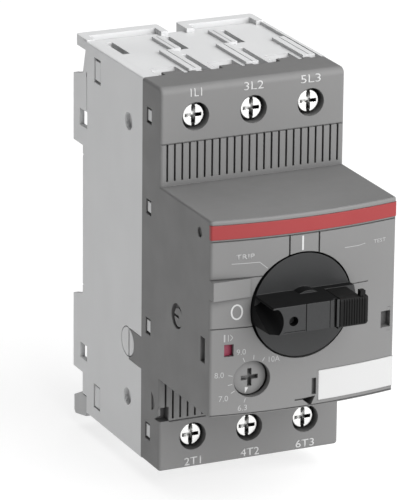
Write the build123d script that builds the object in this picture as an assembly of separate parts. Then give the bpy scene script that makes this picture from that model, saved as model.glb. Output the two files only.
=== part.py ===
from build123d import *
import math
import os

# ---------------------------------------------------------------- driving sizes
# Millimetres. While modelling: x to the right, y from the operating face towards
# the rail, z up, y = 0 at the side edges of the operating panel, z = 0 at the
# lower end of the case. Everything is moved to the rail seat on export.
W = 45.0                      # width of the case
H = 90.0                      # height of the case
HW = W / 2
Y_TERM = 26.43                # front of the terminal steps
Y_SEAM = 36.37                # parting line between cover and housing
Y_WALL = 69.85                # back wall, seat of the rail
Y_FOOT = 75.25                # rear edge of the feet
PANEL_Z0, PANEL_Z1 = 22.33, 67.40   # operating panel block
BULGE = 2.2                   # crown of the panel at its middle
RAIL_Z = 47.10                # middle of the 35 mm rail
RAIL_GAP = (29.30, 64.90)     # gap between the feet
WALL_C = 1.5                  # wall of the front cover
WALL_H = 1.6                  # wall of the housing
Z_TOP = 89.3                  # general level of the housing's top face
POLES = (-14.1, 0.0, 14.1)    # middle of each pole
PART_X = (-7.05, 7.05)        # phase walls
SCREW_Z = (82.8, 7.5)         # line and load terminal screws
KNOB = (-1.2, 46.3)           # knob axis
DIAL = (-12.87, 30.45)        # current setting dial axis
CONTACT_TRAVEL = 3.4          # stroke of the contact bridge carrier

OUT = "parts"
os.makedirs(OUT, exist_ok=True)


# ---------------------------------------------------------------- small helpers
def bx(x0, x1, y0, y1, z0, z1):
    return Pos((x0 + x1) / 2, (y0 + y1) / 2, (z0 + z1) / 2) * Box(
        abs(x1 - x0), abs(y1 - y0), abs(z1 - z0))


def rod_x(x0, x1, y, z, r):
    return Pos((x0 + x1) / 2, y, z) * Rot(0, 90, 0) * Cylinder(r, abs(x1 - x0))


def rod_y(y0, y1, x, z, r):
    return Pos(x, (y0 + y1) / 2, z) * Rot(90, 0, 0) * Cylinder(r, abs(y1 - y0))


def rod_z(z0, z1, x, y, r):
    return Pos(x, y, (z0 + z1) / 2) * Cylinder(r, abs(z1 - z0))


def prism_x(x0, x1, yz):
    f = Face(Wire.make_polygon([Vector(x0, y, z) for y, z in yz], close=True))
    return extrude(f, amount=x1 - x0, dir=(1, 0, 0))


def prism_y(y0, y1, xz):
    f = Face(Wire.make_polygon([Vector(x, y0, z) for x, z in xz], close=True))
    return extrude(f, amount=y1 - y0, dir=(0, 1, 0))


def join(first, *more):
    return first.fuse(*[s for m in more for s in (m if isinstance(m, (list, tuple)) else [m])]).clean()


def cut(first, *tools):
    flat = [s for m in tools for s in (m if isinstance(m, (list, tuple)) else [m])]
    return first.cut(*flat)


def one(shape):
    """The single solid of a node; more than one is an error in the model."""
    s = shape.solids()
    if len(s) != 1:
        raise ValueError(f"{len(s)} solids, sizes {[round(v.volume, 2) for v in s]}")
    return s[0]


def save(name, *shapes):
    move = Pos(0, -Y_WALL, -RAIL_Z)
    solids = [s for shape in shapes for s in shape.solids()]
    moved = [move * s for s in solids]
    obj = moved[0] if len(moved) == 1 else Compound(children=moved)
    obj.label = name
    export_step(obj, os.path.join(OUT, name + ".step"))
    print(name, len(moved))


# curved operating panel: a cylinder about a vertical axis
R_P = (HW ** 2 + BULGE ** 2) / (2 * BULGE)
YC = R_P - BULGE


def panel_y(x):
    return YC - math.sqrt(R_P ** 2 - x * x)


def plan(x0, x1, z, out, inner):
    """Closed plan outline: front edge follows the panel, 'out' in front of it;
    inner is a depth behind the panel, or ('flat', y) for a straight back."""
    xm = (x0 + x1) / 2
    front = ThreePointArc((x0, panel_y(x0) - out, z), (xm, panel_y(xm) - out, z),
                          (x1, panel_y(x1) - out, z))
    if isinstance(inner, tuple):
        a, b = (x1, inner[1], z), (x0, inner[1], z)
        back = Line(a, b)
    else:
        a, b = (x1, panel_y(x1) + inner, z), (x0, panel_y(x0) + inner, z)
        back = ThreePointArc(a, (xm, panel_y(xm) + inner, z), b)
    return Face(Wire([front, Line(front @ 1, a), back, Line(b, front @ 0)]))


def slab(x0, x1, z0, z1, out, inner):
    return extrude(plan(x0, x1, z0, out, inner), amount=z1 - z0, dir=(0, 0, 1))


def score(x0, x1, z0, z1, depth):
    """Cutter for a line or a shallow pocket in the curved panel."""
    if x1 - x0 < 4:
        y = panel_y((x0 + x1) / 2)
        return bx(x0, x1, y - 1, y + depth, z0, z1)
    return slab(x0, x1, z0, z1, 1.0, depth)


def mz(z):
    return H - z


# ================================================================ front cover
GRILL_N, GRILL_X, GRILL_W = 24, 20.9, 0.44
GRILL_PITCH = 2 * GRILL_X / (GRILL_N - 1)
GRILL_TOP, GRILL_LOW = (68.5, 77.0), (12.5, 21.5)
SNAPS = ((80.4, 84.05), (59.25, 62.75), (31.0, 34.85), (5.8, 9.85))   # heights of the side windows
SNAP_Y = (31.4, 34.05)
TONGUE = (21.65, 29.1, 43.2)          # lower and upper edge, rear end
LOCK_PIN = (43.95, 25.65, 3.5)        # y, z, radius of the slotted lock pins

term = bx(-HW, HW, Y_TERM, Y_SEAM, 0, H)
term = fillet([e for e in term.edges().filter_by(Axis.X) if e.center().Y < Y_TERM + 0.1 and e.center().Z > 1], 1.6)
term = fillet([e for e in term.edges().filter_by(Axis.X) if e.center().Y < Y_TERM + 0.1 and e.center().Z < 1], 0.8)
term = fillet([e for e in term.edges().filter_by(Axis.Z) if e.center().Y < Y_TERM + 0.8], 0.7)
panel = slab(-HW, HW, PANEL_Z0, PANEL_Z1, 0, ("flat", Y_SEAM))
panel = fillet([e for e in panel.edges().filter_by(Axis.Z) if e.center().Y < 0.1], 0.8)
panel = fillet([e for e in panel.edges() if e.center().Z > PANEL_Z1 - 0.01 and e.center().Y < 0.5
                and abs(e.center().X) < 10], 0.45)
cover = join(term, panel)

hollow = [bx(-HW + WALL_C, HW - WALL_C, Y_TERM + WALL_C, Y_SEAM + 1, WALL_C, H - WALL_C),
          slab(-HW + WALL_C, HW - WALL_C, PANEL_Z0 + WALL_C, PANEL_Z1 - WALL_C, -WALL_C,
               ("flat", Y_SEAM + 1))]
cover = cut(cover, hollow)

# screw wells
wells, well_cuts = [], []
for x in POLES:
    for z in SCREW_Z:
        wells.append(rod_y(Y_TERM + 0.6, 32.7, x, z, 4.3))
        well_cuts.append(rod_y(Y_TERM - 1, 31.5, x, z, 3.25))
        well_cuts.append(rod_y(31, 33.5, x, z, 2.05))
# inner ribs that stiffen the long front
ribs = [bx(-0.6, 0.6, Y_TERM + 0.6, 31.0, 68.5, 77.5), bx(-0.6, 0.6, Y_TERM + 0.6, 31.0, 12.0, 20.5)]
for s in (-1, 1):
    ribs.append(bx(*sorted((s * (HW - 0.5), s * 18.9)), Y_TERM + 0.6, 31.2, 10.9, 17.2))
# backing of the blind pockets: side slots, square hole and the corner mark of the label
for s in (-1, 1):
    ribs.append(bx(*sorted((s * (HW - 1.3), s * 19.95)), 1.5, 5.7, 32.6, 41.2))
ribs.append(bx(18.2, 21.4, -0.4, 2.6, 36.8, 42.2))
ribs.append(bx(-1.9, 3.0, -1.6, 2.6, 22.6, 25.5))
# raised flat field above the off mark
ribs.append(bx(-HW, -13.6, -1.75, 0.6, 49.6, 53.9))
# tabs of the top and bottom wall that reach into the housing behind each pole,
# and the side tongues under the lock pins
tabs = []
for x in POLES:
    for z0, z1 in ((H - WALL_C, H), (0.0, WALL_C)):
        tabs.append(bx(x - 2.9, x + 1.5, Y_SEAM - 1, 38.5, z0, z1))
        tabs.append(bx(x + 2.9, x + 4.7, Y_SEAM - 1, 37.2, z0, z1))
tongue_t = 0.9
for s in (-1, 1):
    xa, xb = sorted((s * HW, s * (HW - tongue_t)))
    tabs.append(bx(xa, xb, Y_SEAM - 3, TONGUE[2], TONGUE[0], TONGUE[1]))
cover = join(cover, wells + ribs + tabs)

cuts = list(well_cuts)
for s in (-1, 1):
    cuts.append(rod_x(s * HW - 1.2, s * HW + 1.2, LOCK_PIN[0], LOCK_PIN[1], LOCK_PIN[2] + 0.12))
# ventilation grooves of the terminal steps
for i in range(GRILL_N):
    x = -GRILL_X + i * GRILL_PITCH
    for z0, z1 in (GRILL_TOP, GRILL_LOW):
        cuts.append(bx(x - GRILL_W / 2, x + GRILL_W / 2, Y_TERM - 1, Y_TERM + 1.1, z0, z1))
# lines that part the terminal fields from the grills
cuts.append(bx(-HW - 1, HW + 1, Y_TERM - 1, Y_TERM + 0.3, 76.95, 77.25))
cuts.append(bx(-20.1, HW + 1, Y_TERM - 1, Y_TERM + 0.3, 11.8, 12.1))
# lower corner steps beside the grill
for s in (-1, 1):
    cuts.append(bx(*sorted((s * 22.0, s * 20.15)), Y_TERM - 1, 29.0, 12.05, 15.4))
    cuts.append(bx(*sorted((s * 23.0, s * 20.15)), Y_TERM - 1, 26.9, 12.05, 15.4))
    cuts.append(prism_x(*sorted((s * 23.0, s * 21.8)), [(25.0, 12.05), (28.9, 12.05), (28.1, 12.6), (26.4, 13.7),
                                                        (25.0, 15.4)]))
    cuts.append(prism_x(*sorted((s * 23.0, s * 22.15)), [(30.7, 18.1), (28.5, 15.6), (29.2, 14.4), (30.6, 13.6)]))
# snap windows in the side walls
for s in (-1, 1):
    xa, xb = sorted((s * (HW + 1), s * (HW - WALL_C - 0.3)))
    for z0, z1 in SNAPS:
        cuts.append(bx(xa, xb, SNAP_Y[0], SNAP_Y[1], z0, z1))
# side of the panel block: accessory slot, dimple and plugged recess
for s in (-1, 1):
    xa, xb = sorted((s * (HW + 1), s * (20.5 if s < 0 else 21.0)))
    cuts.append(bx(xa, xb, 2.4, 4.7, 34.1, 39.9))
    cuts.append(rod_x(*sorted((s * (HW + 1), s * (HW - 0.5))), 5.6, 63.4, 1.15))
    ring = rod_x(*sorted((s * (HW + 1), s * (HW - 0.95))), 17.2, 40.35, 2.9)
    plug = rod_x(*sorted((s * (HW - 0.1), s * (HW - 1.2))), 16.55, 40.2, 2.15)
    plug = plug - bx(*sorted((s * (HW + 1), s * (HW - 0.6))), 16.4, 18.9, 40.0, 40.6)
    cuts.append(ring - plug)

# operating panel: band recess, division lines, knob, dial, flag and slots
BAND = (63.1, 66.4)
LABEL = (2.95, 22.45, 23.5, 30.4)
cuts.append(slab(-HW - 0.0, HW + 0.0, BAND[0], BAND[1], 1.0, 0.8))
cuts.append(score(-HW, HW, 62.5, 62.8, 0.35))
cuts.append(score(-4.68, -4.32, 57.7, 62.6, 0.5))
cuts.append(score(2.42, 2.78, 57.7, 62.6, 0.5))
cuts.append(score(-22.4, -10.7, 53.9, 54.12, 0.3))
cuts.append(score(-HW, -12.6, 42.53, 42.77, 0.35))
cuts.append(score(10.7, 15.2, 49.2, 49.4, 0.3))
cuts.append(rod_y(-6, 4, KNOB[0], KNOB[1], 12.25))
cuts.append(rod_y(-6, 3, DIAL[0], DIAL[1], 4.2))
cuts.append(bx(-19.25, -17.15, -4, 4, 36.15, 38.95))
cuts.append(bx(-19.75, -16.65, -0.05, 1.4, 32.55, 40.2))
cuts.append(bx(18.9, 21.4, -4, 1.8, 37.6, 41.4))
cuts.append(slab(LABEL[0] - 0.05, LABEL[1] + 1.0 - 1.0, LABEL[2] - 0.05, LABEL[3] + 0.05, 1.0, 0.75))
cuts.append(bx(LABEL[1] - 0.5, HW + 1, -3, panel_y(LABEL[1]) + 0.75, LABEL[2] - 0.05, LABEL[3] + 0.05))
cuts.append(score(1.4, 2.45, 25.0, 28.8, 1.1))
cuts.append(prism_y(-4, 1.7, [(-1.05, 24.35), (2.25, 24.65), (1.25, 22.6), (0.95, 22.6)]))
cuts.append(score(-2.7, -0.7, 24.1, 24.42, 0.45))
cuts.append(score(-HW, HW, 22.5, 22.72, 0.3))
cover = one(cut(cover, cuts))
save("front_cover", cover)

band = slab(-HW, HW, BAND[0] + 0.03, BAND[1] - 0.03, 0.15, 0.77)
band = fillet([e for e in band.edges().filter_by(Axis.Z) if e.center().Y < 0.1], 0.5)
save("header_band", one(band))

label = slab(LABEL[0], LABEL[1], LABEL[2], LABEL[3], 0.1, 0.7)
label = fillet(label.edges().filter_by(Axis.Z), 0.25)
save("label_plate", one(label))

# ================================================================ rear housing
X_IN = HW - WALL_H
house = bx(-HW, HW, Y_SEAM, Y_WALL, H - Z_TOP, Z_TOP)
house = fillet([e for e in house.edges().filter_by(Axis.Y)], 0.45)
house = cut(house, bx(-X_IN, X_IN, Y_SEAM - 1, Y_WALL - WALL_H, H - Z_TOP + WALL_H, Z_TOP - WALL_H))
# the rail seat is a pad between two shallow grooves of the back wall
for z0 in (30.95, 62.45):
    house = cut(house, bx(-HW - 1, HW + 1, Y_WALL - 0.4, Y_WALL + 1, z0, z0 + 0.45))
for s in (-1, 1):
    # side walls lean in towards the lip
    house = cut(house, prism_x(*sorted((s * (HW + 1), s * (X_IN + 0.05))),
                               [(Y_WALL + 0.1, 82.4), (Y_WALL + 0.1, 90.0), (67.75, 90.0), (Y_WALL, 82.4)]))

add, rem = [], []
# phase walls with the passages of the carrier and the trip bar
for x in PART_X:
    wall = bx(x - 0.6, x + 0.6, 38.0, Y_WALL - WALL_H + 0.2, 1.0, H - 1.0)
    wall = cut(wall, bx(x - 2, x + 2, 37, 49.0, 59.5, 66.5), bx(x - 2, x + 2, 53.2, 62.8, 28.2, 32.8))
    add.append(wall)
# feet: thin side plates either side of the rail
FOOT_T = 1.2
for s in (-1, 1):
    xa, xb = sorted((s * HW, s * (HW - FOOT_T)))
    add.append(prism_x(xa, xb, [(Y_WALL - 1, RAIL_GAP[1]), (Y_FOOT, RAIL_GAP[1]), (Y_FOOT, 80.9),
                                (Y_WALL - 1, 82.5)]))
    add.append(prism_x(xa, xb, [(Y_WALL - 1, RAIL_GAP[0]), (Y_FOOT, RAIL_GAP[0] - 1.8), (Y_FOOT, 9.5),
                                (Y_WALL - 1, 9.5)]))
    # thickened back wall behind the foot windows
    xc, xd = sorted((s * (X_IN + 0.3), s * 16.9))
    add.append(bx(xc, xd, 65.3, Y_WALL - 0.2, 66.6, 75.8))
    add.append(bx(xc, xd, 65.3, Y_WALL - 0.2, 10.4, 19.3))
    xe, xf = sorted((s * (HW + 1), s * 18.0))
    rem.append(bx(xe, xf, 67.3, 71.7, 69.4, 73.4))
    rem.append(bx(xe, xf, 67.3, 71.2, 12.9, 16.65))
    xg, xh = sorted((s * (HW - FOOT_T), s * 18.0))
    rem.append(bx(xg, xh, 67.3, Y_WALL + 1, 69.4, 73.4))
    rem.append(bx(xg, xh, 67.3, Y_WALL + 1, 12.9, 16.65))
    # room for the ears of the latch
    rem.append(bx(*sorted((s * (HW + 1), s * 21.3)), 67.6, Y_WALL + 1, -1, 4.3))
    # line where the foot plate leaves the side wall
    rem.append(bx(*sorted((s * (HW + 1), s * (HW - 0.14))), 67.5, 67.75, 74.0, 82.6))
    rem.append(bx(*sorted((s * (HW + 1), s * (HW - 0.45))), 67.5, 67.95, 81.7, 82.8))
# fixed rail hook
add.append(bx(-16, 16, Y_WALL - 0.5, 73.7, RAIL_GAP[1], 67.6))
add.append(bx(-16, 16, 71.2, 73.7, 62.9, RAIL_GAP[1] + 0.5))
# guides of the rail latch
for s in (-1, 1):
    xa, xb = sorted((s * 12.35, s * 14.4))
    add.append(bx(xa, xb, Y_WALL - 0.5, 73.4, 9.0, 24.5))
    xc, xd = sorted((s * 10.9, s * 14.4))
    add.append(bx(xc, xd, 72.35, 73.4, 9.0, 24.5))
# spring post of the rail latch
add.append(bx(-1.5, 1.5, Y_WALL - 0.5, 71.9, 8.2, 9.5))
# rear lips above the back wall
for xa, xb in ((-22.3, -2.05), (2.62, 22.0)):
    lip = bx(xa, xb, 68.0, 74.4, 87.8, 90.3)
    lip = fillet([e for e in lip.edges().filter_by(Axis.Z) if e.center().Y > 74], 0.8)
    lip = cut(lip, bx(xa + 1.9, xb - 1.75, 67.5, 71.5, 89.0, 91))
    add.append(lip)
# ribs and bars of the top face, repeated on the bottom face
for B in (-21.15, -7.05, 7.05, 21.15):
    for top in (True, False):
        def zz(a, b):
            return (a, b) if top else (H - b, H - a)
        z0, z1 = zz(88.9, 90.0)
        if B == -21.15:
            rim = bx(-HW, -20.5, Y_SEAM, Y_WALL, z0, z1)
            add.append(fillet([e for e in rim.edges().filter_by(Axis.Y) if e.center().X < -22
                               and abs(e.center().Z - 45) > 44.5], 0.35))
        elif B == 21.15:
            rim = bx(21.4, HW, Y_SEAM, Y_WALL, z0, z1)
            add.append(fillet([e for e in rim.edges().filter_by(Axis.Y) if e.center().X > 22
                               and abs(e.center().Z - 45) > 44.5], 0.35))
            add.append(bx(18.0, 21.05, 38.7, 54.9, z0, z1))
        else:
            add.append(bx(B, B + 2.3, 55.0, 66.0, z0, z1))
            add.append(bx(B - 3.15, B - 0.1, 38.7, 54.9, z0, z1))
        z2, z3 = zz(85.2, 91.0)
        if B < -20:
            rem.append(bx(-18.05, -16.3, 57.4, 67.3, *zz(86.5, 91.0)))
        elif B < 20:
            rem.append(bx(B + 2.35, B + 4.75, 56.0, 66.9, *zz(86.5, 91.0)))
        if B < 20:
            rem.append(bx(B + 0.95, B + 1.1, 55.2, 65.8, *zz(89.7, 91.0)))
        if B > -20 and B < 20:
            rem.append(bx(B - 0.05, B + 2.3, Y_SEAM - 1, 51.9, z2, z3))
            rem.append(bx(B - 1.6, B - 1.4, 38.9, 54.7, *zz(89.7, 91.0)))
        if B == 21.15:
            rem.append(bx(19.5, 19.7, 38.9, 54.7, *zz(89.7, 91.0)))
# wire entries with a slanted rear wall, and the notches that take the cover's tabs
for x in POLES:
    for top in (True, False):
        f = (lambda z: z) if top else mz
        rem.append(prism_x(x - 3.5, x + 2.8, [(38.6, f(92)), (43.9, f(92)), (43.9, f(89.0)), (43.4, f(87.0)),
                                               (38.6, f(87.0))]))
        z0, z1 = (86.5, 92.0) if top else (-2.0, 3.5)
        rem.append(bx(x - 2.95, x + 1.55, Y_SEAM - 1, 38.62, z0, z1))
        rem.append(bx(x + 2.85, x + 4.75, Y_SEAM - 1, 37.25, z0, z1))
# side walls: round dimples, windows with a tab, tongue pocket and lock pin seat
for s in (-1, 1):
    def xs(a, b):
        return sorted((s * a, s * b))
    rem.append(rod_x(*xs(HW + 1, HW - 1.15), 44.0, 77.85, 2.05))
    rem.append(rod_x(*xs(HW + 1, HW - 1.15), 44.0, 12.35, 2.0))
    for z0, z1, gap in ((81.75, 87.6, 0.65), (3.1, 8.9, 0.35)):
        win = bx(*xs(HW + 1, HW - 0.9), 59.7, 63.35, z0, z1)
        tab = bx(*xs(HW - 0.15, HW - 2), 60.1, 63.0, z0 + gap, z1 - gap)
        tab = fillet([e for e in tab.edges().filter_by(Axis.Z) if abs(e.center().X) > HW - 0.5], 0.1)
        rem.append(win - tab)
    rem.append(bx(*xs(HW + 1, HW - 1.0), Y_SEAM - 1, TONGUE[2] + 0.1, TONGUE[0] - 0.08, TONGUE[1] + 0.08))
    rem.append(rod_x(*xs(HW + 1, HW - 1.0), LOCK_PIN[0], LOCK_PIN[1], LOCK_PIN[2] + 0.1))
    rem.append(rod_x(*xs(HW, HW - 3), LOCK_PIN[0], LOCK_PIN[1], 1.3))
# snap tabs that reach forward into the cover's side windows
snap_add = []
for s in (-1, 1):
    def xs(a, b):
        return sorted((s * a, s * b))
    for z0, z1 in SNAPS:
        za, zb = z0 + 0.5, z1 - 0.6
        snap_add.append(bx(*xs(20.88, 19.8), SNAP_Y[0] - 0.6, 41.0, za, zb))
        snap_add.append(bx(*xs(21.4, 19.8), 37.0, 41.0, za, zb))
        snap_add.append(bx(*xs(22.2, 20.5), SNAP_Y[0] + 0.12, SNAP_Y[1] - 0.12, za, zb))
house = join(house, add)
house = cut(house, rem)
house = one(join(house, snap_add))
save("rear_housing", house)

# quarter-turn lock pins that hold the cover's tongues
pins = []
for s in (-1, 1):
    def xs(a, b):
        return sorted((s * a, s * b))
    disc = rod_x(*xs(HW, HW - 0.95), LOCK_PIN[0], LOCK_PIN[1], LOCK_PIN[2] - 0.12)
    disc = disc - bx(*xs(HW + 1, HW - 2), 40, 48, 20, 22.2)
    disc = disc + rod_x(*xs(HW - 0.9, HW - 4.0), LOCK_PIN[0], LOCK_PIN[1], 1.2)
    disc = disc - bx(*xs(HW + 1, HW - 0.6), 42.95, 43.55, 22.3, 29.0)
    pins.append(one(disc))
save("cover_lock_pins", *pins)

# ================================================================ terminals
screws, clamps = [], []
for x in POLES:
    for z in SCREW_Z:
        head = rod_y(27.8, 30.2, x, z, 2.75)
        head = chamfer([e for e in head.edges() if abs(e.center().Y - 27.8) < 0.01], 0.3)
        head = head + rod_y(30.0, 36.7, x, z, 1.75)
        head = cut(head, bx(x - 0.4, x + 0.4, 27, 28.9, z - 2.9, z + 2.9),
                   bx(x - 2.0, x + 2.0, 27, 29.5, z - 0.42, z + 0.42),
                   bx(x - 0.5, x + 0.5, 27, 29.5, z - 2.0, z + 2.0))
        screws.append(one(head))
        cage = bx(x - 4.6, x + 4.6, 34.4, 44.5, z - 2.7, z + 2.7)
        cage = fillet(cage.edges().filter_by(Axis.Z), 0.6)
        cage = cut(cage, bx(x - 3.6, x + 3.6, 36.2, 43.1, z - 4, z + 4), rod_y(33, 37, x, z, 1.78))
        clamps.append(one(cage))
save("terminal_screws", *screws)
save("terminal_clamps", *clamps)

for i, x in enumerate(POLES, 1):
    # line side: tongue in the clamp, run to the rear, fixed contact
    line = join(bx(x - 3.4, x + 3.4, 37.4, 38.6, 73.0, 86.2), bx(x - 3.0, x + 3.0, 37.4, 52.4, 73.0, 74.2),
                bx(x - 2.5, x + 2.5, 51.2, 52.4, 67.2, 74.2), rod_y(50.7, 51.3, x, 69.6, 1.9))
    save(f"line_conductor_{i}", one(line))
    # load side: tongue in the clamp, run under the bimetal
    load = join(bx(x - 3.4, x + 3.4, 37.4, 38.6, 3.8, 14.7), bx(x - 3.0, x + 3.0, 37.4, 60.6, 13.5, 14.7))
    save(f"load_conductor_{i}", one(load))
    fixed = join(bx(x - 2.5, x + 2.5, 51.2, 52.4, 34.0, 59.0), rod_y(50.7, 51.3, x, 57.0, 1.9),
                 bx(x - 5.4, x + 2.5, 51.2, 52.4, 34.0, 36.5), bx(x - 5.4, x - 2.8, 51.2, 52.4, 24.0, 36.5),
                 bx(x - 5.4, x + 0.9, 51.2, 54.4, 24.0, 24.9))
    save(f"fixed_contact_{i}", one(fixed))
    bim = bx(x - 0.5, x + 0.5, 55.5, 60.5, 14.7, 27.4)
    save(f"bimetal_{i}", one(bim))
    # heater ribbon: turns round the bimetal, joined at alternate sides
    turns = []
    for k in range(5):
        z = 16.4 + k * 1.9
        turns.append(cut(bx(x - 1.7, x + 1.7, 54.4, 61.6, z, z + 0.9), bx(x - 1.0, x + 1.0, 55.1, 60.9, z - 1, z + 2)))
        if k < 4:
            ya = 54.4 if k % 2 == 0 else 60.9
            turns.append(bx(x - 0.8, x + 0.8, ya, ya + 0.7, z + 0.4, z + 2.3))
    save(f"heater_{i}", one(join(turns[0], turns[1:])))
    # short-circuit magnet: winding, yoke and plunger
    prof = [(2.95, 34.2)]
    n = 6
    pitch = (42.4 - 34.2) / n
    for k in range(n):
        z = 34.2 + k * pitch
        prof += [(4.7, z), (5.2, z + 0.25 * pitch), (5.2, z + 0.75 * pitch), (4.7, z + pitch)]
    prof += [(2.95, 42.4)]
    pts, last = [], None
    for p in prof:
        if p != last:
            pts.append(p)
        last = p
    face = Face(Wire.make_polygon([Vector(r, 0, z) for r, z in pts], close=True))
    coil = Pos(x, 44.0, 0) * revolve(face, Axis.Z)
    save(f"magnet_coil_{i}", one(coil))
    yoke = join(bx(x - 4.2, x + 4.2, 49.7, 50.7, 32.9, 43.7), bx(x - 4.2, x + 4.2, 38.8, 50.7, 42.7, 43.7),
                bx(x - 4.2, x + 4.2, 38.8, 50.7, 32.9, 33.9))
    yoke = cut(yoke, rod_z(30, 46, x, 44.0, 2.9))
    save(f"magnet_yoke_{i}", one(yoke))
    plunger = join(rod_z(34.9, 48.0, x, 44.0, 2.55), rod_z(47.2, 48.2, x, 44.0, 3.6))
    save(f"magnet_plunger_{i}", one(plunger))
    # moving contact bridge with silver tips
    bridge = join(bx(x - 2.3, x + 2.3, 45.0, 46.4, 54.9, 71.7), rod_y(46.2, 47.2, x, 69.6, 1.7),
                  rod_y(46.2, 47.2, x, 57.0, 1.7))
    bridge = cut(bridge, rod_y(44, 48, x, 63.0, 1.4))
    save(f"moving_contact_{i}", one(bridge))

# arc chute plates behind the contacts of each pole
for name, z0 in (("arc_chute_line", 64.6), ("arc_chute_load", 43.4)):
    plates = []
    for x in POLES:
        for k in range(6):
            z = z0 + k * 2.9
            p = bx(x - 5.2, x + 5.2, 53.6, 64.8, z, z + 1.0)
            p = cut(p, bx(x - 1.2, x + 1.2, 53, 57.5, z - 1, z + 2))
            plates.append(one(p))
    save(name, *plates)

# ================================================================ mechanism
frame = join(bx(-11.2, -10.2, 10.8, 34.0, 33.5, 61.0), bx(7.8, 8.8, 10.8, 34.0, 33.5, 61.0),
             bx(-11.2, 8.8, 33.0, 34.0, 33.5, 56.0), bx(-11.2, 8.8, 10.8, 12.0, 38.0, 55.0),
             bx(-11.2, 8.8, 22.0, 34.0, 33.5, 34.5))
frame = cut(frame, rod_y(9, 13, KNOB[0], KNOB[1], 3.08), rod_x(-12, 10, 27.0, 47.0, 1.26),
            rod_z(32, 36, 0.0, 26.0, 1.08))
save("mechanism_frame", one(frame))

# rotary knob: flush flat disc, gripping bar, retaining flange behind the panel
kx, kz = KNOB
disc = join(rod_y(-2.1, 0.9, kx, kz, 11.85), rod_y(0.8, 1.9, kx, kz, 13.2))
bar = bx(-14.0, 10.95, -11.6, -0.4, 43.1, 49.95)
bar = bar & rod_y(-12, 0, kx, kz, 12.1)
bar = cut(bar, bx(3.1, 12.0, -12.0, -3.95, 42.0, 51.0))
recess = Pos(-13.6, -11.6, 46.5) * Rot(-60, 0, 0) * Cylinder(3.3, 22.0)
bar = cut(bar, recess & bx(-18.0, -8.0, -13.0, -2.8, 42.0, 49.55))
bar = cut(bar, prism_x(-14.5, 2.9, [(-12.0, 42.8), (-12.0, 43.7), (-2.2, 43.1), (-2.2, 42.8)]))
hub = rod_y(-5.0, -0.5, kx, kz, 4.25)
knob = join(disc, bar, hub)
knob = cut(knob,
           bx(-4.7, 3.6, -10.2, -4.2, 44.4, 48.6),              # pocket of the lock slide
           rod_y(-13, -9.6, -7.9, 46.4, 1.1),                    # blind hole
           bx(-4.98, -4.78, -12, -11.35, 43.5, 49.96),           # division lines of the bar
           bx(-10.3, -4.78, -12, -11.35, 43.95, 44.1),
           bx(0.78, 0.92, -12, -11.4, 42, 51),
           bx(1.8, 2.5, -12, -10.75, 42, 51))
save("knob", one(knob))

crank = (KNOB[0] - 4.5, KNOB[1])
shaft = join(rod_y(1.9, 22.0, kx, kz, 3.0), rod_y(13.0, 17.0, kx, kz, 6.5), rod_y(16.5, 20.0, *crank, 1.2))
save("knob_shaft", one(shaft))

# padlock slide: ridged grip and an eye blade that is drawn out of the bar
grip = bx(3.35, 10.4, -11.6, -9.3, 43.2, 49.98)
grip = fillet([e for e in grip.edges().filter_by(Axis.Z) if e.center().X > 10], 0.9)
grip = fillet([e for e in grip.edges().filter_by(Axis.Y) if e.center().X > 9], 0.8)
body = bx(3.35, 8.3, -9.6, -4.25, 43.3, 49.9)
blade = bx(-4.3, 4.0, -10.0, -4.4, 44.6, 48.4)
nub = bx(8.15, 9.35, -11.6, -10.2, 49.9, 51.2)
slide = join(grip, body, blade, nub)
ridge_cuts = [bx(4.1 + k * 0.62, 4.1 + k * 0.62 + 0.26, -12, -11.42, 42.8, 50.1) for k in range(9)]
slide = cut(slide, ridge_cuts, rod_z(44, 49, -0.6, -7.2, 2.0))
save("lock_slide", one(slide))

# current setting dial with a cross recess, and its cam
dx, dz = DIAL
dial = join(rod_y(-0.1, 1.3, dx, dz, 3.9), rod_y(1.2, 2.0, dx, dz, 4.6), rod_y(1.9, 12.0, dx, dz, 2.0))
dial = cut(dial, bx(dx - 2.05, dx + 2.05, -1, 1.3, dz - 0.5, dz + 0.5),
           bx(dx - 0.5, dx + 0.5, -1, 1.3, dz - 2.05, dz + 2.05))
save("setting_dial", one(dial))
cam = join(rod_y(8.0, 10.4, dx, dz, 3.2), rod_y(8.0, 10.4, dx + 1.2, dz, 2.9))
cam = cut(cam, rod_y(7, 11, dx, dz, 2.0))
save("setting_cam", one(cam))

# trip flag behind its window
flag = join(bx(-19.5, -16.9, 0.26, 0.88, 35.85, 39.3), bx(-19.5, -16.9, 0.26, 8.0, 38.4, 39.3))
save("trip_flag", one(flag))

# toggle lever on its cross pin, latch lever under the frame
toggle = join(rod_x(-10.9, 8.5, 27.0, 47.0, 1.2), rod_x(-3.4, 1.4, 27.0, 47.0, 2.5),
              bx(-2.6, 0.6, 25.9, 28.1, 47.0, 59.6), rod_x(-2.6, 0.6, 27.0, 59.6, 1.4),
              prism_x(-2.6, 0.6, [(25.6, 48.2), (22.4, 44.9), (22.9, 43.2), (28.0, 45.6)]))
save("toggle_lever", one(toggle))
latch = join(rod_z(29.6, 32.9, 0.0, 26.0, 2.2), rod_z(32.5, 35.4, 0.0, 26.0, 1.0),
             bx(-0.6, 0.6, 26.0, 35.7, 29.9, 31.1))
save("latch_lever", one(latch))

# trip bar across the three poles with a finger beside each bimetal and a fork
tb = [bx(-19.4, 17.2, 54.2, 61.8, 29.0, 32.0)]
for x in POLES:
    tb.append(bx(x + 1.9, x + 2.8, 56.4, 59.6, 26.6, 29.5))
tb += [bx(-1.9, 1.9, 36.6, 55.0, 29.6, 31.2), bx(-1.9, -1.1, 34.6, 37.5, 29.6, 31.2),
       bx(1.1, 1.9, 34.6, 37.5, 29.6, 31.2)]
trip = join(tb[0], tb[1:])
save("trip_bar", one(trip))

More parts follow.
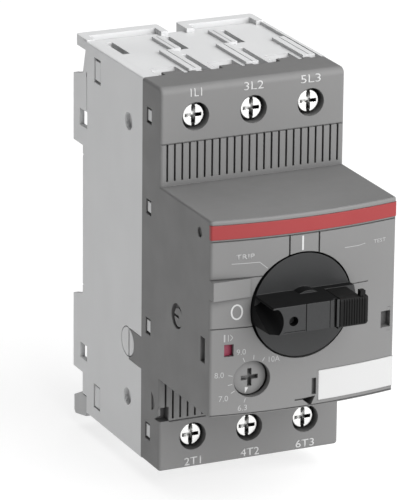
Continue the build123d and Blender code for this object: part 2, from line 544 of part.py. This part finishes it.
# carrier of the three contact bridges with its pressure springs
car = [bx(-18.9, 18.9, 38.4, 42.0, 60.5, 65.5), bx(-3.0, 1.0, 28.95, 38.8, 58.6, 61.4)]
for x in POLES:
    car += [rod_y(41.5, 47.8, x, 63.0, 1.2), rod_y(46.7, 47.8, x, 63.0, 2.1)]
carrier = join(car[0], car[1:])
save("contact_carrier", one(carrier))

springs = []
for x in POLES:
    rings = []
    helix = Helix(pitch=0.78, height=2.34, radius=1.9)
    sec = Plane(origin=helix @ 0, z_dir=helix % 0) * Circle(0.22)
    coil = sweep(sec, path=helix, is_frenet=True)
    springs.append(one(Pos(x, 42.3, 63.0) * Rot(-90, 0, 0) * coil))
save("contact_springs", *springs)

# ================================================================ rail latch
tabz = (-2.1, 3.7)
latch_plate = bx(-11.9, 11.9, 70.15, 72.0, 2.0, 30.0)
hook = bx(-11.9, 11.9, 71.2, 73.7, 28.0, 31.3)
lt = prism_x(-22.3, 22.3, [(70.15, 4.6), (75.2, 2.2), (75.2, tabz[0] + 0.5), (74.5, tabz[0] - 0.2), (68.2, -1.0),
                          (68.2, -0.35), (70.15, -0.35)])
ears = [prism_x(*sorted((s * 21.65, s * 22.3)), [(67.95, -0.5), (67.95, 3.9), (70.4, 3.95), (70.4, -0.5)])
        for s in (-1, 1)]
rl = join(latch_plate, hook, lt, ears)
rl = cut(rl, bx(-2.0, 2.0, 69, 73, 5.0, 19.8), bx(-3.2, 3.2, 73.4, 76, -0.6, 2.0))
save("rail_latch", one(rl))
helix = Helix(pitch=1.6, height=9.6, radius=0.66)
sec = Plane(origin=helix @ 0, z_dir=helix % 0) * Circle(0.17)
sp = sweep(sec, path=helix, is_frenet=True)
save("latch_spring", one(Pos(0, 71.05, 9.85) * sp))
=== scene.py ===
import bpy
import bmesh
import math
from mathutils import Matrix, Vector


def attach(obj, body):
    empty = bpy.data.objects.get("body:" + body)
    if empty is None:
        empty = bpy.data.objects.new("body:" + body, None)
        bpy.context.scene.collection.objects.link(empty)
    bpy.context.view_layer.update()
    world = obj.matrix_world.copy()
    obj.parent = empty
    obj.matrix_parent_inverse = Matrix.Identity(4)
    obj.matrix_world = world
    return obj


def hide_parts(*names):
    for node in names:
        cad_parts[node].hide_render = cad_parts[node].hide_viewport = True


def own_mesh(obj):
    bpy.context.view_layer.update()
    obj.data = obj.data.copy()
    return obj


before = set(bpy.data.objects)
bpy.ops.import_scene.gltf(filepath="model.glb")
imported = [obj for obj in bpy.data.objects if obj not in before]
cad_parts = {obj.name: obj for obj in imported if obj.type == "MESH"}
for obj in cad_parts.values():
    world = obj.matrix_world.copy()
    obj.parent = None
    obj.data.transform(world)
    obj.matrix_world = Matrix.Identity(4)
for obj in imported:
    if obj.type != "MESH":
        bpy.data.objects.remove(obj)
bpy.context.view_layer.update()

# The modelling axes of the case, in millimetres: x to the right, y from the operating
# face towards the rail, z up. The frame's origin is the middle of the rail seat.
Y0, Z0 = 69.85, 47.10


def P(x, y, z):
    return Vector((x / 1000.0, (y - Y0) / 1000.0, (z - Z0) / 1000.0))


BULGE, HW = 2.2, 22.5
R_P = (HW ** 2 + BULGE ** 2) / (2 * BULGE)
YC = R_P - BULGE


def panel_y(x):
    return YC - math.sqrt(R_P ** 2 - x * x)


# ------------------------------------------------------------------ camera
az, el, roll = math.radians(-25.01), math.radians(18.51), math.radians(0.60)
d = Vector((-math.sin(az) * math.cos(el), math.cos(az) * math.cos(el), -math.sin(el)))
right = Vector((math.cos(az), math.sin(az), 0.0))
up = right.cross(d)
r2 = math.cos(roll) * right + math.sin(roll) * up
u2 = -math.sin(roll) * right + math.cos(roll) * up
cam_data = bpy.data.cameras.new("camera")
cam = bpy.data.objects.new("camera", cam_data)
bpy.context.scene.collection.objects.link(cam)
rot = Matrix((r2, u2, -d)).transposed()
cam.matrix_world = Matrix.Translation(P(-398.89, -806.27, 358.92)) @ rot.to_4x4()
cam_data.sensor_fit = "HORIZONTAL"
cam_data.sensor_width = 36.0
cam_data.lens = 4347.77 / 419.0 * 36.0
cam_data.clip_start, cam_data.clip_end = 0.01, 20.0
cam_data.dof.use_dof = False
bpy.context.scene.camera = cam


# ------------------------------------------------------------------ materials
def lin(v):
    v = v / 255.0
    return v / 12.92 if v <= 0.04045 else ((v + 0.055) / 1.055) ** 2.4


def grey(v, warm=0.0):
    a = lin(v)
    return (a * (1 + warm), a, a * (1 - warm), 1.0)


class Mat:
    """A node material with small helpers; every finish is built from noise in object space."""

    def __init__(self, name):
        self.m = bpy.data.materials.new(name)
        self.m.use_nodes = True
        self.t = self.m.node_tree
        self.t.nodes.clear()
        self.out = self.t.nodes.new("ShaderNodeOutputMaterial")
        self.b = self.t.nodes.new("ShaderNodeBsdfPrincipled")
        self.link(self.b.outputs["BSDF"], self.out.inputs["Surface"])
        self.co = self.t.nodes.new("ShaderNodeTexCoord").outputs["Object"]

    def link(self, a, b):
        self.t.links.new(a, b)

    def noise(self, scale, detail=2.0, rough=0.5, stretch=None):
        n = self.t.nodes.new("ShaderNodeTexNoise")
        n.inputs["Scale"].default_value = scale
        n.inputs["Detail"].default_value = detail
        n.inputs["Roughness"].default_value = rough
        if stretch:
            m = self.t.nodes.new("ShaderNodeMapping")
            m.inputs["Scale"].default_value = stretch
            self.link(self.co, m.inputs["Vector"])
            self.link(m.outputs["Vector"], n.inputs["Vector"])
        else:
            self.link(self.co, n.inputs["Vector"])
        return n.outputs["Fac"]

    def ramp(self, fac, lo, hi, c0, c1):
        r = self.t.nodes.new("ShaderNodeValToRGB")
        r.color_ramp.elements[0].position = lo
        r.color_ramp.elements[0].color = c0
        r.color_ramp.elements[1].position = hi
        r.color_ramp.elements[1].color = c1
        self.link(fac, r.inputs["Fac"])
        return r.outputs["Color"]

    def mix(self, fac, a, b, mode="MIX"):
        n = self.t.nodes.new("ShaderNodeMix")
        n.data_type = "RGBA"
        n.blend_type = mode
        for k, v in (("Factor", fac), ("A", a), ("B", b)):
            s = [i for i in n.inputs if i.name == k and i.enabled][0] if k == "Factor" else \
                [i for i in n.inputs if i.name == k and i.type == "RGBA"][0]
            if isinstance(v, (int, float, tuple)):
                s.default_value = v
            else:
                self.link(v, s)
        return [o for o in n.outputs if o.type == "RGBA"][0]

    def value(self, fac, lo, hi):
        n = self.t.nodes.new("ShaderNodeMapRange")
        n.inputs["From Min"].default_value = 0.3
        n.inputs["From Max"].default_value = 0.7
        n.inputs["To Min"].default_value = lo
        n.inputs["To Max"].default_value = hi
        self.link(fac, n.inputs["Value"])
        return n.outputs["Result"]

    def painted_crevice_shade(self, distance, lo, hi):
        """Painted shade mask: 1 where walls stand close together, 0 on open faces."""
        n = self.t.nodes.new("ShaderNodeAmbientOcclusion")
        n.samples = 8
        n.inputs["Distance"].default_value = distance
        r = self.t.nodes.new("ShaderNodeMapRange")
        r.inputs["From Min"].default_value = lo
        r.inputs["From Max"].default_value = hi
        r.inputs["To Min"].default_value = 1.0
        r.inputs["To Max"].default_value = 0.0
        self.link(n.outputs["AO"], r.inputs["Value"])
        return r.outputs["Result"]

    def bump(self, parts, edge=0.0):
        """parts: [(height, distance in metres, strength)]; edge: softened edge radius in metres."""
        prev = None
        if edge:
            bv = self.t.nodes.new("ShaderNodeBevel")
            bv.samples = 4
            bv.inputs["Radius"].default_value = edge
            prev = bv.outputs["Normal"]
        for h, dist, s in parts:
            n = self.t.nodes.new("ShaderNodeBump")
            n.inputs["Distance"].default_value = dist
            n.inputs["Strength"].default_value = s
            self.link(h, n.inputs["Height"])
            if prev is not None:
                self.link(prev, n.inputs["Normal"])
            prev = n.outputs["Normal"]
        if prev is not None:
            self.link(prev, self.b.inputs["Normal"])


def scaled(c, k):
    return (min(1, c[0] * k), min(1, c[1] * k), min(1, c[2] * k), 1.0)


def plastic(name, col, rough, grain=0.000012, spec=0.5, var=0.035, edge=0.00022, rvar=0.05, painted_shade=0.0):
    """Moulded plastic: spark-eroded grain, faint flow shades, a slight change of gloss, and optionally painted shade
    that darkens the base colour in crevices.
    """
    m = Mat(name)
    flow = m.noise(45.0, 3.0, 0.55, (1.0, 1.0, 0.35))
    speck = m.noise(5200.0, 1.0)
    c = m.ramp(flow, 0.3, 0.7, scaled(col, 1 - var), scaled(col, 1 + var))
    c = m.mix(m.value(speck, 0.0, 0.16), c, scaled(col, 0.86))
    # painted shade: the base colour is darkened where walls stand close together
    if painted_shade:
        c = m.mix(m.painted_crevice_shade(0.0022, 0.35, 0.95), c, scaled(col, 1 - painted_shade))
    m.link(c, m.b.inputs["Base Color"])
    m.link(m.value(m.noise(160.0, 2.0), rough - rvar, rough + rvar), m.b.inputs["Roughness"])
    m.b.inputs["Specular IOR Level"].default_value = spec
    m.bump([(m.noise(3600.0, 2.0, 0.6), grain, 0.5), (m.noise(90.0, 2.0), grain * 2.2, 0.25)], edge)
    return m.m


def moulded_black(name, face, shaded_flank, rough, edge):
    """Black plastic of the knob: satin on the faces that look forward, matt on the flanks, with painted shade: the
    base colour is darker on the flanks, chosen by the object-space normal.
    """
    m = Mat(name)
    n = m.t.nodes.new("ShaderNodeSeparateXYZ")
    tc = m.t.nodes.new("ShaderNodeTexCoord")
    m.link(tc.outputs["Normal"], n.inputs["Vector"])
    a = m.t.nodes.new("ShaderNodeMath")
    a.operation = "ABSOLUTE"
    m.link(n.outputs["Y"], a.inputs[0])
    r = m.t.nodes.new("ShaderNodeMapRange")
    r.inputs["From Min"].default_value = 0.78
    r.inputs["From Max"].default_value = 0.94
    m.link(a.outputs["Value"], r.inputs["Value"])
    fac = r.outputs["Result"]
    # painted shade: faces turned away from the forward axis get the darker flank colour
    c = m.mix(fac, shaded_flank[0], face[0])
    c = m.mix(m.value(m.noise(5200.0, 1.0), 0.0, 0.3), c, scaled(shaded_flank[0], 0.8))
    m.link(c, m.b.inputs["Base Color"])
    sp = m.t.nodes.new("ShaderNodeMapRange")
    sp.inputs["To Min"].default_value = shaded_flank[1]
    sp.inputs["To Max"].default_value = face[1]
    m.link(fac, sp.inputs["Value"])
    m.link(sp.outputs["Result"], m.b.inputs["Specular IOR Level"])
    m.link(m.value(m.noise(160.0, 2.0), rough - 0.04, rough + 0.04), m.b.inputs["Roughness"])
    m.bump([(m.noise(3600.0, 2.0, 0.6), 0.000006, 0.5), (m.noise(90.0, 2.0), 0.000013, 0.25)], edge)
    return m.m


def metal(name, col, rough, brush=None, edge=0.0001, var=0.08, rvar=0.08, depth=0.000006, painted_crevice_shade=0.0):
    m = Mat(name)
    a = m.noise(700.0, 3.0, 0.6, brush)
    b = m.noise(120.0, 2.0)
    c = m.ramp(b, 0.3, 0.7, scaled(col, 1 - var), scaled(col, 1 + var))
    # painted shade: the base colour goes nearly black in crevices, such as the screws' cross slots
    if painted_crevice_shade:
        c = m.mix(m.painted_crevice_shade(painted_crevice_shade, 0.35, 0.85), c, scaled(col, 0.06))
    m.link(c, m.b.inputs["Base Color"])
    m.link(m.value(a, max(0.02, rough - rvar), rough + rvar), m.b.inputs["Roughness"])
    m.b.inputs["Metallic"].default_value = 1.0
    m.bump([(a, depth, 0.6)], edge)
    return m.m


# Painted shade: the shade settings darken these plastics in their crevices, the crevice setting darkens the zinc in
# its slots, and the knob's darker flank colour stands for shade.
M = {
    "housing": plastic("housing_plastic", grey(210, -0.006), 0.52, painted_shade=0.22),
    "cover": plastic("cover_plastic", grey(112, 0.004), 0.5, spec=0.27, painted_shade=0.4),
    "band": plastic("band_plastic", (lin(133), lin(33), lin(35), 1.0), 0.42, grain=0.000006),
    "label": plastic("label_plastic", grey(178), 0.45, grain=0.000004, var=0.01),
    "knob": moulded_black("knob_plastic", (grey(40, -0.03), 0.36), (grey(20, -0.03), 0.04), 0.4, 0.0002),
    "grip": plastic("grip_plastic", grey(14), 0.6, grain=0.000014, edge=0.00015, spec=0.16),
    "dial": plastic("dial_plastic", grey(112, 0.004), 0.5, grain=0.000008, spec=0.3, painted_shade=0.45),
    "flag": plastic("flag_plastic", (lin(122), lin(36), lin(60), 1.0), 0.4, grain=0.000004),
    "latch": plastic("latch_plastic", grey(176, -0.006), 0.52, painted_shade=0.22),
    "inner": plastic("inner_plastic", grey(60), 0.6),
    "print": plastic("print_ink", grey(182), 0.55, grain=0.000003, edge=0.0, var=0.02),
    "print_soft": plastic("print_ink_soft", grey(153), 0.6, grain=0.000003, edge=0.0, var=0.04),
    "zinc": metal("zinc_plate", (0.86, 0.86, 0.85, 1.0), 0.26, edge=0.00015, painted_crevice_shade=0.0012),
    "plate": metal("plate_steel", (0.55, 0.55, 0.55, 1.0), 0.36, (1.0, 1.0, 8.0)),
    "spring": metal("spring_steel", (0.5, 0.5, 0.5, 1.0), 0.25),
    "heater": metal("heater_alloy", (0.40, 0.37, 0.33, 1.0), 0.42),
    "copper": metal("copper", (0.80, 0.42, 0.27, 1.0), 0.28, (1.0, 6.0, 1.0)),
}
LOOK = {"rear_housing": "housing", "front_cover": "cover", "header_band": "band", "label_plate": "label",
        "cover_lock_pins": "housing", "terminal_screws": "zinc", "terminal_clamps": "zinc",
        "arc_chute_line": "plate", "arc_chute_load": "plate", "mechanism_frame": "plate",
        "latch_spring": "spring", "knob": "knob", "knob_shaft": "inner", "lock_slide": "grip",
        "setting_dial": "dial", "setting_cam": "inner", "trip_flag": "flag", "toggle_lever": "plate",
        "latch_lever": "plate", "trip_bar": "inner", "contact_carrier": "inner", "contact_springs": "spring",
        "rail_latch": "latch"}
for i in (1, 2, 3):
    LOOK.update({f"line_conductor_{i}": "copper", f"load_conductor_{i}": "copper", f"fixed_contact_{i}": "copper",
                 f"bimetal_{i}": "plate", f"heater_{i}": "heater", f"magnet_coil_{i}": "copper",
                 f"magnet_yoke_{i}": "plate", f"magnet_plunger_{i}": "plate", f"moving_contact_{i}": "copper"})
for node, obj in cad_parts.items():
    mat = M[LOOK[node]]
    if len(obj.material_slots) == 0:
        obj.data.materials.append(mat)
    for s in obj.material_slots:
        s.material = mat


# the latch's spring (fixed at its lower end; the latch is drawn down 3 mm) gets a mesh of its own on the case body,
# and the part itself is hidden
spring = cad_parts["latch_spring"]
coil = bpy.data.objects.new("latch_coil", spring.data.copy())
bpy.context.scene.collection.objects.link(coil)
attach(coil, "case")
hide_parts("latch_spring")
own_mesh(coil)


# ------------------------------------------------------------------ print on the faces
def to_object(name, bm, mat, body):
    bmesh.ops.recalc_face_normals(bm, faces=bm.faces)
    me = bpy.data.meshes.new(name)
    bm.to_mesh(me)
    bm.free()
    me.materials.append(M[mat])
    ob = bpy.data.objects.new(name, me)
    bpy.context.scene.collection.objects.link(ob)
    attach(ob, body)
    return ob


def solid_print(name, polys, surface, mat="print", body="case", proud=0.02, sunk=0.05):
    """polys: closed outlines in (x, z), each a list of convex or plain quads; surface(x) gives y.
    Each becomes a closed film that stands 'proud' of the face it is printed on."""
    bm = bmesh.new()
    for poly in polys:
        top = [bm.verts.new(P(x, surface(x, z) - proud, z)) for x, z in poly]
        low = [bm.verts.new(P(x, surface(x, z) + sunk, z)) for x, z in poly]
        bm.faces.new(top)
        bm.faces.new(low[::-1])
        n = len(poly)
        for k in range(n):
            bm.faces.new((top[(k + 1) % n], top[k], low[k], low[(k + 1) % n]))
    return to_object(name, bm, mat, body)


def line_quads(points, width, step=1.2):
    out = []
    for (xa, za), (xb, zb) in zip(points, points[1:]):
        L = math.hypot(xb - xa, zb - za)
        n = max(1, int(L / step))
        nx, nz = -(zb - za) / L * width / 2, (xb - xa) / L * width / 2
        for k in range(n):
            t0, t1 = k / n, (k + 1) / n
            a = (xa + (xb - xa) * t0, za + (zb - za) * t0)
            b = (xa + (xb - xa) * t1, za + (zb - za) * t1)
            out.append([(a[0] - nx, a[1] - nz), (b[0] - nx, b[1] - nz), (b[0] + nx, b[1] + nz),
                        (a[0] + nx, a[1] + nz)])
    return out


def ellipse_ring(cx, cz, rx, rz, width, n=40):
    out = []
    for k in range(n):
        a0, a1 = 2 * math.pi * k / n, 2 * math.pi * (k + 1) / n
        pts = []
        for a, s in ((a0, 1), (a1, 1), (a1, -1), (a0, -1)):
            pts.append((cx + (rx + s * width / 2) * math.cos(a), cz + (rz + s * width / 2) * math.sin(a)))
        out.append(pts)
    return out


def lettering(name, text, cx, cz, width, height, surface, mat="print", body="case",
              proud=0.02, sunk=0.05, weight=0.0, angle=0.0, cuts=0):
    """Text as a closed film on a face, its cap box centred on (cx, cz), width by height in mm."""
    cu = bpy.data.curves.new(name + "_c", "FONT")
    cu.body = text
    cu.resolution_u = 3
    cu.offset = weight
    tmp = bpy.data.objects.new(name + "_t", cu)
    bpy.context.scene.collection.objects.link(tmp)
    bpy.context.view_layer.update()
    me = bpy.data.meshes.new_from_object(tmp)
    bpy.data.objects.remove(tmp)
    bpy.data.curves.remove(cu)
    xs = [v.co.x for v in me.vertices]
    ys = [v.co.y for v in me.vertices]
    x0, x1, y0, y1 = min(xs), max(xs), min(ys), max(ys)
    sx = width / (x1 - x0)
    sy = height / (y1 - y0)
    ca, sa = math.cos(angle), math.sin(angle)
    bm = bmesh.new()
    bm.from_mesh(me)
    bpy.data.meshes.remove(me)
    bmesh.ops.remove_doubles(bm, verts=bm.verts, dist=1e-5)
    bmesh.ops.dissolve_degenerate(bm, edges=bm.edges, dist=1e-6)
    for k in range(1, cuts):
        bmesh.ops.bisect_plane(bm, geom=bm.verts[:] + bm.edges[:] + bm.faces[:], dist=1e-6,
                               plane_co=(0, y0 + (y1 - y0) * k / cuts, 0), plane_no=(0, 1, 0))
    flat = {}
    for v in bm.verts:
        lx = (v.co.x - (x0 + x1) / 2) * sx
        lz = (v.co.y - (y0 + y1) / 2) * sy
        flat[v] = (cx + lx * ca - lz * sa, cz + lx * sa + lz * ca)
    res = bmesh.ops.extrude_face_region(bm, geom=list(bm.faces))
    new = [g for g in res["geom"] if isinstance(g, bmesh.types.BMVert)]
    pos = {}
    for v in new:
        lx = (v.co.x - (x0 + x1) / 2) * sx
        lz = (v.co.y - (y0 + y1) / 2) * sy
        pos[v] = (cx + lx * ca - lz * sa, cz + lx * sa + lz * ca)
    for v, (x, z) in flat.items():
        v.co = P(x, surface(x, z) + sunk, z)
    for v, (x, z) in pos.items():
        v.co = P(x, surface(x, z) - proud, z)
    return to_object(name, bm, mat, body)


def on_panel(x, z):
    return panel_y(x)


def on_step(x, z):
    # the upper edge of the terminal step is rounded with 1.6 mm
    if z > 88.4:
        return 28.03 - math.sqrt(1.6 ** 2 - min(1.55, z - 88.4) ** 2)
    return 26.43


# terminal marks
for text, x, w, z, h in (("1L1", -14.0, 2.75, 88.32, 1.85), ("3L2", 0.0, 4.75, 88.32, 1.85),
                         ("5L3", 14.0, 4.9, 88.32, 1.85), ("2T1", -14.1, 4.2, 1.55, 1.85),
                         ("4T2", 0.2, 4.7, 1.55, 1.85), ("6T3", 14.1, 4.7, 1.55, 1.85)):
    lettering("mark_" + text, text, x, z, w, h, on_step, weight=-0.004 if z > 80 else 0.006, cuts=8 if z > 80 else 0)

# position marks of the knob
solid_print("mark_on", line_quads([(-1.35, 58.9), (-1.35, 62.2)], 0.42), on_panel)
solid_print("mark_off", ellipse_ring(-16.5, 46.3, 1.2, 1.62, 0.36), on_panel)
lettering("mark_trip", "TRIP", -14.75, 58.85, 4.3, 1.15, on_panel, mat="print_soft",
          weight=0.016)
lettering("mark_test", "TEST", 18.1, 58.2, 3.2, 0.85, on_panel, mat="print_soft")
solid_print("lead_trip", line_quads([(-17.8, 57.4), (-11.45, 57.3), (-9.6, 55.7)], 0.16), on_panel, "print_soft")
solid_print("lead_test", line_quads([(9.0, 58.0), (12.6, 57.95), (14.3, 58.2)], 0.14), on_panel, "print_soft")

# dial scale: ticks at angles clockwise from straight down, with plain numbers
DX, DZ = -12.87, 30.45


def dial_pt(ang, r):
    a = math.radians(ang)
    return (DX - r * math.sin(a), DZ - r * math.cos(a))


ticks = []
for ang in (18.5, 59.0, 80.0, 104.0, 157.7, 184.0, 211.0):
    ticks += line_quads([dial_pt(ang, 4.55), dial_pt(ang, 5.55)], 0.17)
solid_print("dial_ticks", ticks, on_panel, "print_soft")
for text, x, z, w in (("6.3", -15.0, 24.0, 2.1), ("7.0", -19.3, 26.5, 2.1), ("8.0", -20.3, 32.0, 2.1),
                      ("9.0", -15.4, 37.0, 2.1), ("10A", -7.75, 34.6, 2.6)):
    lettering("dial_" + text.replace(".", "_"), text, x, z, w, 1.3, on_panel, mat="print_soft")

# pointer let into the dial's face, beside the foot of the cross
a = math.radians(16.0)
tip = (DX - 3.75 * math.sin(a), DZ - 3.75 * math.cos(a))
base = (DX - 2.35 * math.sin(a), DZ - 2.35 * math.cos(a))
nx, nz = math.cos(a) * 0.42, -math.sin(a) * 0.42
solid_print("dial_pointer", [[(base[0] - nx, base[1] - nz), (base[0] + nx, base[1] + nz), tip]],
            lambda x, z: -0.1, body="setting_dial")

# window mark of the trip flag: a stroke, a thin stroke and an arrow head
solid_print("flag_mark", line_quads([(-19.2, 39.6), (-19.2, 41.3)], 0.36) +
            line_quads([(-18.35, 39.7), (-18.35, 41.2)], 0.16) +
            line_quads([(-17.9, 41.2), (-17.35, 40.5), (-17.9, 39.8)], 0.16), on_panel, "print_soft")

# ------------------------------------------------------------------ stage and light
fl = bmesh.new()
S = 3.0
zf = P(0, 0, -5.1).z - 0.0002     # clear of the rail latch when it is drawn down
n = 24
vs = [[fl.verts.new((-S + 2 * S * i / n, -S + 2 * S * j / n, zf)) for j in range(n + 1)] for i in range(n + 1)]
for i in range(n):
    for j in range(n):
        fl.faces.new((vs[i][j], vs[i + 1][j], vs[i + 1][j + 1], vs[i][j + 1]))
me = bpy.data.meshes.new("floor")
fl.to_mesh(me)
fl.free()
floor = bpy.data.objects.new("floor", me)
bpy.context.scene.collection.objects.link(floor)
fm = Mat("floor_paint")
fc = fm.ramp(fm.noise(3.0, 2.0), 0.3, 0.7, (0.35, 0.35, 0.35, 1), (0.37, 0.37, 0.37, 1))
fm.link(fc, fm.b.inputs["Base Color"])
fm.b.inputs["Emission Color"].default_value = (1, 1, 1, 1)
fm.b.inputs["Emission Strength"].default_value = 0.7
fm.b.inputs["Roughness"].default_value = 0.9
fm.b.inputs["Specular IOR Level"].default_value = 0.1
me.materials.append(fm.m)

world = bpy.data.worlds.new("studio")
bpy.context.scene.world = world
world.use_nodes = True
world.node_tree.nodes["Background"].inputs["Color"].default_value = (1, 1, 1, 1)
world.node_tree.nodes["Background"].inputs["Strength"].default_value = 0.13


def area(name, loc, size, power, target=(0, -0.035, 0), size_y=None):
    ld = bpy.data.lights.new(name, "AREA")
    ld.shape = "RECTANGLE"
    ld.size = size
    ld.size_y = size_y or size
    ld.energy = power
    lo = bpy.data.objects.new(name, ld)
    lo.location = loc
    lo.rotation_euler = (Vector(target) - Vector(loc)).to_track_quat("-Z", "Y").to_euler()
    bpy.context.scene.collection.objects.link(lo)
    return lo


area("front_box", (0.55, -1.35, 0.85), 2.0, 58.2)
area("top_box", (0.1, 0.35, 1.3), 1.6, 9.5)
bpy.context.scene.view_settings.view_transform = "Standard"
bpy.context.scene.view_settings.look = "None"
